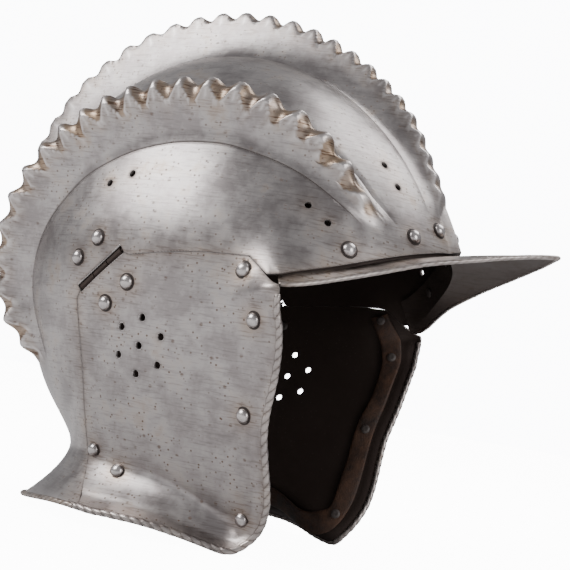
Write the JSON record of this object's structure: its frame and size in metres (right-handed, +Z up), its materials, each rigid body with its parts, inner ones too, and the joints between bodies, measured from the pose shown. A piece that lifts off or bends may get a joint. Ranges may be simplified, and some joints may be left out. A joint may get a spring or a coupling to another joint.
{
  "type": "burgonet",
  "caption": "Triple-combed steel burgonet with scalloped combs, a pointed riveted peak, a flared roped nape and two hinged cheekpieces with pierced ear rosettes and leather lining straps.",
  "frame": {"origin": "middle of the bounding box in X and Y, at the ground that the helmet stands on", "axes": "+Z up; the wearer looks along -Y; +X is the wearer's left"},
  "size_m": [0.2018, 0.3342, 0.2919],
  "materials": {
    "steel": "old polished steel, pitted and softly stained, brown patina in the tooth hollows and around the rivets",
    "rivet_steel": "domed steel rivet heads, worn bright on top with a brown ring at the foot",
    "hinge_steel": "dark blackened steel, worn at the knuckles",
    "lining_leather": "old dark brown leather, dry and creased"
  },
  "bodies": {
    "helmet": {"skull": "steel", "peak": "steel", "hinge_skull_leaf_right": "hinge_steel", "hinge_pin_right": "hinge_steel", "brow_rivet_right_1": "rivet_steel", "brow_rivet_right_2": "rivet_steel", "brow_rivet_right_3": "rivet_steel", "hinge_skull_rivet_right_1": "rivet_steel", "hinge_skull_rivet_right_2": "rivet_steel", "hinge_skull_leaf_left": "hinge_steel", "hinge_pin_left": "hinge_steel", "brow_rivet_left_1": "rivet_steel", "brow_rivet_left_2": "rivet_steel", "brow_rivet_left_3": "rivet_steel", "hinge_skull_rivet_left_1": "rivet_steel", "hinge_skull_rivet_left_2": "rivet_steel"},
    "cheekpiece_right": {"cheek_right": "steel", "lining_strap_right": "lining_leather", "hinge_cheek_leaf_right": "hinge_steel", "lining_rivet_right_1": "rivet_steel", "lining_rivet_right_2": "rivet_steel", "lining_rivet_right_3": "rivet_steel", "lining_rivet_right_4": "rivet_steel", "lining_rivet_right_5": "rivet_steel", "lining_rivet_right_6": "rivet_steel", "hinge_cheek_rivet_right_1": "rivet_steel", "hinge_cheek_rivet_right_2": "rivet_steel"},
    "cheekpiece_left": {"cheek_left": "steel", "lining_strap_left": "lining_leather", "hinge_cheek_leaf_left": "hinge_steel", "lining_rivet_left_1": "rivet_steel", "lining_rivet_left_2": "rivet_steel", "lining_rivet_left_3": "rivet_steel", "lining_rivet_left_4": "rivet_steel", "lining_rivet_left_5": "rivet_steel", "lining_rivet_left_6": "rivet_steel", "hinge_cheek_rivet_left_1": "rivet_steel", "hinge_cheek_rivet_left_2": "rivet_steel"}
  },
  "joints": [
    {"name": "cheek_right_hinge", "type": "hinge", "parent": "helmet", "child": "cheekpiece_right", "pos_m": [-0.08847, 0.03766, 0.12658], "axis": [0.2274, 0.7532, -0.6173], "range_deg": [0, 95]},
    {"name": "cheek_left_hinge", "type": "hinge", "parent": "helmet", "child": "cheekpiece_left", "pos_m": [0.08847, 0.03766, 0.12658], "axis": [0.2274, -0.7532, 0.6173], "range_deg": [0, 95]}
  ]
}
